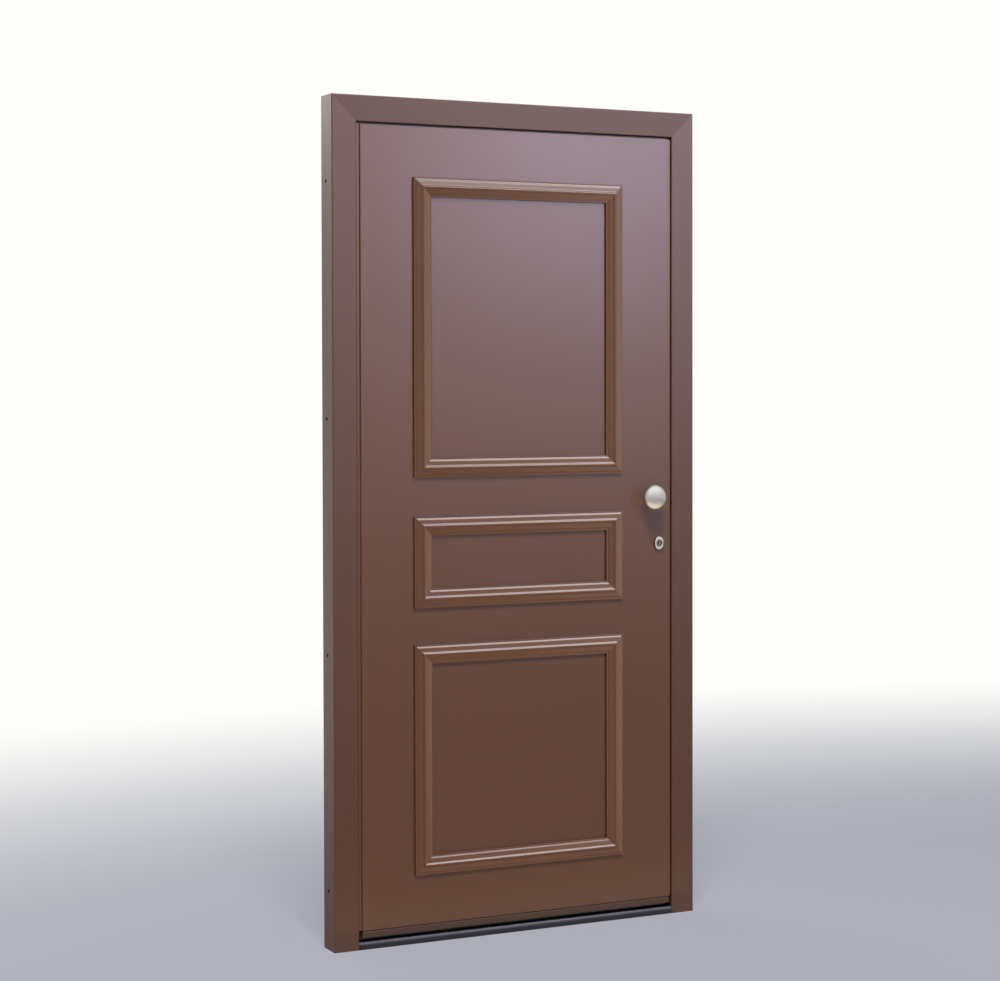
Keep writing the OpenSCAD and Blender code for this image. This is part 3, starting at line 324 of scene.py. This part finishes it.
KNOB_AT = front_centre("knob")
CYLINDER_AT = front_centre("cylinder_guard")
LEVER_AT = front_centre("lever_rose")
print("knob, cylinder and lever at", KNOB_AT, CYLINDER_AT, LEVER_AT)

# %% Metals and rubber
# Noise seldom leaves this range, so it is stretched from here to the full change of gloss.
NOISE_LOW, NOISE_HIGH = 0.3, 0.7
SMUDGE_MM, SMUDGE_CLEAN, SMUDGE_DULL = 12, 0.04, 0.05
RING_DEPTH_MM, RING_STRENGTH = 0.05, 0.12
LINE_DEPTH_MM, LINE_STRENGTH, LINE_SPREAD, ARRIS_MM = 0.05, 0.15, 0.06, 0.5


def turned_metal(name, tint, centre, ring_mm, rough):
    """Lathe finish: noise of the distance from an axis along Y at centre makes rings of this spacing."""
    material, tree, shader = new_finish(name)
    where = add_node(tree, "ShaderNodeTexCoord").outputs["Object"]
    moved = add_node(tree, "ShaderNodeMapping", {
        "Vector": where, "Location": (-centre[0] * MM, 0, -centre[1] * MM), "Scale": (1, 0, 1)})
    radius = add_node(tree, "ShaderNodeVectorMath", {0: moved.outputs[0]}, operation="LENGTH")
    rings = add_node(tree, "ShaderNodeTexNoise", {
        "W": radius.outputs["Value"], "Scale": 1 / (ring_mm * MM), "Detail": 2.0}, noise_dimensions="1D")
    smudge = add_node(tree, "ShaderNodeTexNoise", {
        "Vector": where, "Scale": 1 / (SMUDGE_MM * MM), "Detail": 3.0})
    sheen = add_node(tree, "ShaderNodeMapRange", {
        "Value": smudge.outputs["Fac"], "From Min": NOISE_LOW, "From Max": NOISE_HIGH,
        "To Min": rough - SMUDGE_CLEAN, "To Max": rough + SMUDGE_DULL})
    bump = add_node(tree, "ShaderNodeBump", {
        "Strength": RING_STRENGTH, "Distance": RING_DEPTH_MM * MM, "Height": rings.outputs["Fac"]})
    tree.links.new(sheen.outputs["Result"], shader.inputs["Roughness"])
    tree.links.new(bump.outputs[0], shader.inputs["Normal"])
    shader.inputs["Base Color"].default_value = linear(tint)
    shader.inputs["Metallic"].default_value = 1.0
    return material


def streaked(name, tint, worn, stretch, line_mm, rough, metallic=1.0):
    """Streaks along one axis, or mottling where stretch is even all ways: noise squeezed by stretch
    shifts tone, gloss and height."""
    material, tree, shader = new_finish(name)
    where = add_node(tree, "ShaderNodeTexCoord").outputs["Object"]
    squeezed = add_node(tree, "ShaderNodeMapping", {"Vector": where, "Scale": stretch})
    lines = add_node(tree, "ShaderNodeTexNoise", {
        "Vector": squeezed.outputs[0], "Scale": 1 / (line_mm * MM), "Detail": 4.0})
    tone = add_node(tree, "ShaderNodeMix", {
        0: lines.outputs["Fac"], 6: linear(tint), 7: linear(worn)}, data_type="RGBA")
    sheen = add_node(tree, "ShaderNodeMapRange", {
        "Value": lines.outputs["Fac"], "From Min": NOISE_LOW, "From Max": NOISE_HIGH,
        "To Min": rough - LINE_SPREAD, "To Max": rough + LINE_SPREAD})
    edge = add_node(tree, "ShaderNodeBevel", {"Radius": ARRIS_MM * MM}, samples=BEVEL_RAYS)
    bump = add_node(tree, "ShaderNodeBump", {
        "Strength": LINE_STRENGTH, "Distance": LINE_DEPTH_MM * MM, "Height": lines.outputs["Fac"],
        "Normal": edge.outputs[0]})
    tree.links.new(tone.outputs[2], shader.inputs["Base Color"])
    tree.links.new(sheen.outputs["Result"], shader.inputs["Roughness"])
    tree.links.new(bump.outputs[0], shader.inputs["Normal"])
    shader.inputs["Metallic"].default_value = metallic
    return material


ALONG_X, ALONG_Z, ALL_WAYS = (0.03, 1, 1), (1, 1, 0.03), (1, 1, 1)
# Turned stainless steel, satin: broad soft highlights on the knob, and tighter ones on the small rings.
knob_steel = turned_metal("turned_stainless_knob", "#bdbcb8", KNOB_AT, ring_mm=0.5, rough=0.42)
guard_steel = turned_metal("turned_stainless_guard", "#cfcecb", CYLINDER_AT, ring_mm=0.4, rough=0.16)
rose_steel = turned_metal("turned_stainless_rose", "#cfcecb", LEVER_AT, ring_mm=0.6, rough=0.24)
# Nickel on brass: a dull warm grey painted as the shade deep in its mouth, the dark middle of the lock.
nickel = turned_metal("nickelled_brass_painted_shade", "#6e695f", CYLINDER_AT, ring_mm=0.35, rough=0.3)
# Brushed stainless steel: streaks along the bar stretch the highlight across it.
brushed = streaked("brushed_stainless", "#cfcecb", "#bfbdb9", ALONG_X, line_mm=0.5, rough=0.26)
# Ground stainless steel: upright streaks on the lock's plates and bolts.
lock_steel = streaked("ground_stainless", "#c4c4c2", "#aeadab", ALONG_Z, line_mm=0.5, rough=0.3)
# Zinc-plated steel: a pale grey with a mottled bloom, on hinges and hidden parts.
zinc = streaked("zinc_plated_steel", "#b9bcbd", "#9ea3a6", ALL_WAYS, line_mm=9.0, rough=0.38)
# Rolled brass: a yellow glint at the hinge washers.
brass = streaked("rolled_brass", "#c9a75e", "#b08f4b", ALL_WAYS, line_mm=4.0, rough=0.35)
# Anodised aluminium: a dark skin over drawn metal, grey where it turns to the sky and black below.
anodised = streaked("anodised_aluminium", "#1f1d26", "#2b2932", ALONG_X, line_mm=1.2, rough=0.38,
                    metallic=0.35)
# Extruded rubber: a black line without a highlight.
rubber = streaked("extruded_rubber", "#17171a", "#242427", ALL_WAYS, line_mm=3.0, rough=0.62,
                  metallic=0.0)
# Paper honeycomb: a matt straw colour, only seen where the lock is cut in.
filling = streaked("honeycomb_filling", "#c9b48c", "#b39d74", ALL_WAYS, line_mm=8.0, rough=0.9,
                   metallic=0.0)
print(len(bpy.data.materials), "materials in the file")

# %% [markdown]
# ## Finishes for the CAD nodes
# Most solids already have the right shape, so they stay and only get their finish. The record
# names a material slot for every node, and one table maps slots to finishes. A second, short table
# holds what differs from the rest of its slot: the head of the frame.

# %% Dress the CAD nodes
FINISH_OF_SLOT = {
    "brown_steel": steel_coat, "brown_board": board_coat, "brown_alloy": alloy_coat,
    "threshold_alloy": anodised, "seal_rubber": rubber, "core_board": filling,
    "satin_stainless": rose_steel, "nickel_brass": nickel, "washer_brass": brass,
    "lock_stainless": lock_steel, "zinc_steel": zinc,
}
slot_of = {part["node"]: part["material_slot"] for part in frame["record"]["subparts"]}
# The head gets the coat whose darker brown is painted shade.
FINISH_OF_NODE = {"head": head_coat_painted_shade}
for name, node in frame["nodes"].items():
    for place in node.material_slots:
        place.material = FINISH_OF_NODE.get(name, FINISH_OF_SLOT[slot_of[name]])
print("finishes given to", len(slot_of), "nodes")

# %% [markdown]
# ## From a grid of points to a piece
# Every new piece below is a grid of points, worked out as one array. One function joins
# neighbours into faces, closes the grid into a tube or a ring where asked, and merges the points
# that meet at a pole. A second one makes the object, marks its sharp edges, sets the body it
# rides on and hides the solids that it stands for.

# %% Mesh helpers
MERGE_MM = 0.001


def skin(name, grid, around=False, along=False):
    """Faces between the neighbours of a rows by columns grid of points in millimetres.
    around joins the last column to the first, and along the last row to the first."""
    rows, columns = grid.shape[:2]
    index = np.arange(rows * columns).reshape(rows, columns)
    index = np.hstack([index, index[:, :1]]) if around else index
    index = np.vstack([index, index[:1]]) if along else index
    faces = np.stack([index[:-1, :-1], index[1:, :-1], index[1:, 1:], index[:-1, 1:]], axis=-1)
    mesh = bpy.data.meshes.new(name)
    mesh.from_pydata((grid.reshape(-1, 3) * MM).tolist(), [], faces.reshape(-1, 4).tolist())
    work = bmesh.new()
    work.from_mesh(mesh)
    bmesh.ops.remove_doubles(work, verts=work.verts, dist=MERGE_MM * MM)
    bmesh.ops.recalc_face_normals(work, faces=work.faces)
    work.to_mesh(mesh)
    work.free()
    return mesh


def put(mesh, finish, body, slot, *stands_for, crease=40):
    """Object of a mesh: smooth except over edges sharper than crease degrees, riding on its body."""
    mesh.materials.append(finish)
    mesh.shade_smooth()
    mesh.set_sharp_from_angle(angle=math.radians(crease))
    piece = bpy.data.objects.new(mesh.name, mesh)
    scene.collection.objects.link(piece)
    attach(piece, body)
    if stands_for:
        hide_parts(*stands_for)
    print(piece.name, len(mesh.polygons), "faces")
    return piece


# %% [markdown]
# ## Moulded frames
# The three raised frames are strips of moulding, mitred at the corners. From a square edge the
# section climbs by two soft rises, with a sloping band between them, to a crest in the middle, and
# falls the same way. It could be drawn as a bevelled curve, but then the mitres come out uneven, so
# the section is carried round the four corners as one closed grid. The corner edges are marked
# sharp by hand: without that, the long faces would share their shading across the mitre.

# %% Mouldings
PANEL_Y = box_mm("outer_panel")[0, 1]
strip_low, strip_high = box_mm("upper_moulding_top")
MOULD_W, MOULD_H, MOULD_SIDE = strip_high[2] - strip_low[2], PANEL_Y - strip_low[1], strip_high[0]
# Shares of the crest's height at the edge, and of the width and height where band and rises run
EDGE_SHARE = 0.44
BAND_SHARES = (0.18, 0.38, 0.12)
RISE_SHARES = [(0.05, 0.19, 0.20), (0.36, 0.49, 0.24)]
FRAMES = ("upper", "middle", "lower")
SIDES = ("top", "right", "bottom", "left")
SECTION_STEPS, MOULD_CREASE = 261, 28


def mould_height(s):
    """Height of the moulding as a share of its crest, d being the distance to the nearer edge:
    the edge, plus a straight band, plus two rises that ease in and out by t squared times (3 - 2 t)."""
    d = np.minimum(s, 1 - s)
    band_start, band_end, band_rise = BAND_SHARES
    h = EDGE_SHARE + band_rise * np.clip((d - band_start) / (band_end - band_start), 0, 1)
    for start, end, size in RISE_SHARES:
        t = np.clip((d - start) / (end - start), 0, 1)
        h = h + size * t * t * (3 - 2 * t)
    return h


def moulded_frame(name):
    """The section carried round a rectangle: at inset t the corners are (side - t, tall / 2 - t)."""
    foot = box_mm(f"{name}_moulding_bottom")[0, 2]
    tall = box_mm(f"{name}_moulding_top")[1, 2] - foot
    s = np.linspace(0, 1, SECTION_STEPS)
    inset = np.concatenate([[0], s, [1]]) * MOULD_W
    depth = np.concatenate([[0], mould_height(s), [0]]) * MOULD_H
    sign_x, sign_z = np.array([-1, 1, 1, -1]), np.array([1, 1, -1, -1])
    x = sign_x * (MOULD_SIDE - inset)[:, None]
    z = foot + tall / 2 + sign_z * (tall / 2 - inset)[:, None]
    y = np.broadcast_to(PANEL_Y - depth[:, None], x.shape)
    mesh = skin(name + "_moulding", np.stack([x, y, z], axis=-1), around=True, along=True)
    strips = [f"{name}_moulding_{side}" for side in SIDES]
    piece = put(mesh, board_coat, "leaf", "brown_board", *strips, crease=MOULD_CREASE)
    ends = np.empty(2 * len(mesh.edges), dtype=np.int32)
    mesh.edges.foreach_get("vertices", ends)
    sharp = np.empty(len(mesh.edges), dtype=bool)
    mesh.attributes["sharp_edge"].data.foreach_get("value", sharp)
    points = np.empty(3 * len(mesh.vertices))
    mesh.vertices.foreach_get("co", points)
    a, b = points.reshape(-1, 3)[ends.reshape(-1, 2)].transpose(1, 0, 2)
    mitre = (np.abs(a[:, 0] - b[:, 0]) < MOULD_W * MM) & (np.abs(a[:, 2] - b[:, 2]) < MOULD_W * MM)
    mesh.attributes["sharp_edge"].data.foreach_set("value", sharp | mitre)
    return piece


moulded = [moulded_frame(name) for name in FRAMES]

# %% [markdown]
# ## Turned fittings
# The knob and the round plates inside are lathe work. A half profile, radius against distance from
# the door, is spun round an axis along Y. Blender's own Spin would do it too, but a grid needs no
# clean-up and its poles close by themselves. The ring round the cylinder is oval: its outer rows
# are spun as two half turns that stand apart, while the rows of its mouth stay round.

# %% Knob, guard ring and roses
BACK_Y = box_mm("inner_panel")[1, 1]
SPIN, CURVE_STEPS, EDGE_STEPS = 144, 64, 24


def arc(centre, radius, start, end, count):
    """Points on an ellipse about centre: (radius_u cos a, radius_v sin a), a in degrees."""
    a = np.radians(np.linspace(start, end, count))
    return np.column_stack([centre[0] + radius[0] * np.cos(a), centre[1] + radius[1] * np.sin(a)])


def turned(name, profile, centre, face_y, outwards, apart=0.0):
    """Spins (radius, distance) round the axis: x and z go round by cos and sin, y leaves the face.
    apart, one number or one for each row, lifts the upper half turn and lowers the other by as much."""
    profile = np.asarray(profile, dtype=float)
    a = np.linspace(0, 2 * np.pi, SPIN, endpoint=False) + math.pi / SPIN
    x = centre[0] + profile[:, :1] * np.cos(a)
    z = centre[1] + profile[:, :1] * np.sin(a) + np.reshape(apart, (-1, 1)) * np.sign(np.sin(a))
    y = np.broadcast_to(face_y + outwards * profile[:, 1:], x.shape)
    return skin(name, np.stack([x, y, z], axis=-1), around=True)


knob_low, knob_high = box_mm("knob")
KNOB_R, KNOB_OUT = (knob_high[0] - knob_low[0]) / 2, PANEL_Y - knob_low[1]
KNOB_RIM, NECK_L, NECK_R = 35.0, 16.0, 11.0
back_angle = math.degrees(math.acos(NECK_R / KNOB_R))
back_rise = (KNOB_RIM - NECK_L) / math.sin(math.radians(back_angle))
knob_profile = np.vstack([
    [(0, 0), (NECK_R, 0), (NECK_R, NECK_L)],
    arc((0, KNOB_RIM), (KNOB_R, back_rise), -back_angle, 0, CURVE_STEPS)[1:],
    arc((0, KNOB_RIM), (KNOB_R, KNOB_OUT - KNOB_RIM), 0, 90, CURVE_STEPS)[1:],
])
knob = put(turned("pull_knob", knob_profile, KNOB_AT, PANEL_Y, -1), knob_steel,
           "leaf", "satin_stainless", "knob")

guard_w, GUARD_OUT, guard_h = np.diff(box_mm("cylinder_guard"), axis=0)[0]
GUARD_R, GUARD_RISE = guard_w / 2, (guard_h - guard_w) / 2
MOUTH_R, GUARD_EDGE, DRAFT = 9.5, 1.6, 0.5
guard_profile = np.vstack([
    [(MOUTH_R, 0), (GUARD_R, 0)],
    arc((GUARD_R - DRAFT - GUARD_EDGE, GUARD_OUT - GUARD_EDGE), (GUARD_EDGE, GUARD_EDGE),
        0, 90, EDGE_STEPS),
    [(MOUTH_R + DRAFT, GUARD_OUT), (MOUTH_R, GUARD_OUT - DRAFT), (MOUTH_R, 0)],
])
oval = np.where(guard_profile[:, 0] > MOUTH_R + DRAFT, GUARD_RISE, 0.0)
guard = put(turned("cylinder_guard_ring", guard_profile, CYLINDER_AT, PANEL_Y, -1, oval), guard_steel,
            "leaf", "satin_stainless", "cylinder_guard")

rose_w, ROSE_T, _ = np.diff(box_mm("lever_rose"), axis=0)[0]
ROSE_R, ROSE_EDGE, LEVER_BORE, TURN_BORE = rose_w / 2, 3.2, 9.05, 6.8
for name, centre, bore, finish in (("lever_rose", LEVER_AT, LEVER_BORE, rose_steel),
                                   ("cylinder_rose", CYLINDER_AT, TURN_BORE, guard_steel)):
    rose_profile = np.vstack([
        [(bore, 0), (ROSE_R, 0)],
        arc((ROSE_R - ROSE_EDGE, ROSE_T - ROSE_EDGE), (ROSE_EDGE, ROSE_EDGE), 0, 90, EDGE_STEPS),
        [(bore, ROSE_T), (bore, 0)],
    ])
    put(turned(name + "_plate", rose_profile, centre, BACK_Y, 1), finish, "leaf", "satin_stainless", name)

# %% [markdown]
# ## Cards for metal and mouldings
# Polished metal shows its surroundings far more strongly than paint does. A photographer would hold
# cards round a knob and keep the bright lamps off it. Light linking does the same: both sky boxes
# are kept off the knob and the ring, and a pale card above and a warm card on the ground are mirrored
# by these two alone. The knob is also left out of what the leaf mirrors: so close to a satin film it
# would be a wide smear beside itself. The mouldings are modelled by light from the other side: in
# place of the high key they have one to the right, a pale card beside the door, and one like sunlit
# ground below. The far sky is kept off them, so that the shallow band between their two rises stays
# dark.

# %% Light linking
def link_light(lamp, pieces, state):
    """Limits a lamp to the pieces (INCLUDE), or keeps it off them (EXCLUDE)."""
    receivers = bpy.data.collections.new(lamp.name + "_receivers")
    for piece in pieces:
        receivers.objects.link(piece)
    for member in receivers.collection_objects:
        member.light_linking.link_state = state
    lamp.light_linking.receiver_collection = receivers


polished = [knob, guard]
link_light(lamps["high_sky"], polished, "EXCLUDE")
link_light(lamps["far_sky"], polished + moulded, "EXCLUDE")
pale_card = soft_box("pale_card", (0.6, -1.8, 4.0), (0.4, 0.0, 1.1), (7.0, 4.5), 0.75, "#fbfaff",
                     matt=False)
warm_card = soft_box("warm_card", (0.5, -0.75, 0.05), (0.5, -0.75, 2.0), (3.0, 1.4), 1.1, "#fff0bc",
                     matt=False)
for card in (pale_card, warm_card):
    link_light(card, polished, "INCLUDE")
knob.visible_glossy = False

link_light(lamps["high_key"], moulded, "EXCLUDE")
side_key = soft_box("side_key", (2.3, -6.8, 8.6), (0.0, 0.0, 1.0), (3.5, 3.2), 34.0, "#fffaf6",
                    sheen=False)
side_card = soft_box("side_card", (1.2, -0.8, 1.1), (0.0, -0.1, 1.1), (1.4, 2.4), 1.2, "#fff4ea",
                     matt=False)
ground = soft_box("ground", (0.3, -1.7, 0.03), (0.3, -1.7, 2.0), (3.5, 3.0), 0.34, "#ffc878")
for card in (side_key, side_card, ground):
    link_light(card, moulded, "INCLUDE")
print("cards:", *(card.name for card in (pale_card, warm_card, side_key, side_card, ground)))

# %% [markdown]
# ## Lever and thumb turn
# Inside, the lever is a round bar bent through a quarter turn, with a domed end. Its surface is a
# circle carried along that path and shrunk to a point at both ends. The thumb turn is a flat paddle
# with round ends on a round collar: rings of the paddle's outline are stacked and drawn in a little
# at the top edge.

# %% Lever handle
lever_low, lever_high = box_mm("lever_handle")
LEVER_R, FREE_GAP = (lever_high[2] - lever_low[2]) / 2, lever_low[1] - BACK_Y
LEVER_OUT, LEVER_L = lever_high[1] - LEVER_R - BACK_Y, LEVER_AT[0] - lever_low[0]
BEND_R = 18.0
BEND_STEPS, DOME_STEPS, BAR_SPIN = 40, 24, 72


def lever_surface():
    """Rings of radius r about a path that runs out, bends to the left, runs on and ends in a dome."""
    bend = np.radians(np.linspace(0, 90, BEND_STEPS))
    dome = np.radians(np.linspace(0, 90, DOME_STEPS))
    reach = LEVER_L - LEVER_R
    out = np.concatenate([[FREE_GAP, FREE_GAP], LEVER_OUT - BEND_R + BEND_R * np.sin(bend),
                          np.full(1 + len(dome), LEVER_OUT)])
    left = np.concatenate([[0, 0], BEND_R * (1 - np.cos(bend)), [reach], reach + LEVER_R * np.sin(dome)])
    heading = np.concatenate([[0, 0], bend, np.full(1 + len(dome), math.pi / 2)])[:, None]
    radius = np.concatenate([[0, LEVER_R], np.full(len(bend) + 1, LEVER_R), LEVER_R * np.cos(dome)])
    radius = radius[:, None]
    a = np.linspace(0, 2 * np.pi, BAR_SPIN, endpoint=False)
    side, rise = radius * np.cos(a), radius * np.sin(a)
    x = LEVER_AT[0] - left[:, None] + side * np.cos(heading)
    y = BACK_Y + out[:, None] + side * np.sin(heading)
    return skin("lever", np.stack([x, y, LEVER_AT[1] + rise], axis=-1), around=True)


put(lever_surface(), brushed, "lever", "satin_stainless", "lever_handle")

# %% Thumb turn
turn_low, turn_high = box_mm("thumb_turn")
TURN_W, TURN_OUT = turn_high[2] - turn_low[2], turn_high[1] - BACK_Y - ROSE_T
COLLAR_R = (turn_high[0] - turn_low[0]) / 2
TURN_T, TURN_EDGE = 9.0, 2.0
PADDLE_SPIN, PADDLE_STEPS = 96, 12


def paddle_surface():
    """Rings of a slot outline (half circles of half the thickness, set apart) stacked along Y:
    each ring is pulled in by its own inset, and the first and last close on the middle line."""
    foot, top = BACK_Y + ROSE_T + FREE_GAP + TURN_T / 2, BACK_Y + ROSE_T + TURN_OUT
    edge = arc((0, 0), (TURN_EDGE, TURN_EDGE), 0, 90, PADDLE_STEPS)
    inset = np.concatenate([[TURN_T / 2, 0], TURN_EDGE - edge[:, 0], [TURN_T / 2]])[:, None]
    y = np.concatenate([[foot, foot], top - TURN_EDGE + edge[:, 1], [top]])[:, None]
    a = np.linspace(0, 2 * np.pi, PADDLE_SPIN, endpoint=False) + math.pi / PADDLE_SPIN
    apart = np.sign(np.sin(a)) * (TURN_W - TURN_T) / 2
    x = CYLINDER_AT[0] + (TURN_T / 2 - inset) * np.cos(a)
    z = CYLINDER_AT[1] + (TURN_T / 2 - inset) * np.sin(a) + apart
    return skin("thumb_paddle", np.stack([x, np.broadcast_to(y, x.shape), z], axis=-1), around=True)


put(paddle_surface(), brushed, "turn", "satin_stainless", "thumb_turn")
collar_l = TURN_OUT - FREE_GAP - TURN_T
collar_profile = [(0, 0), (COLLAR_R, 0), (COLLAR_R, collar_l), (0, collar_l)]
collar_y = BACK_Y + ROSE_T + FREE_GAP
put(turned("thumb_collar", collar_profile, CYLINDER_AT, collar_y, 1), guard_steel,
    "turn", "satin_stainless")
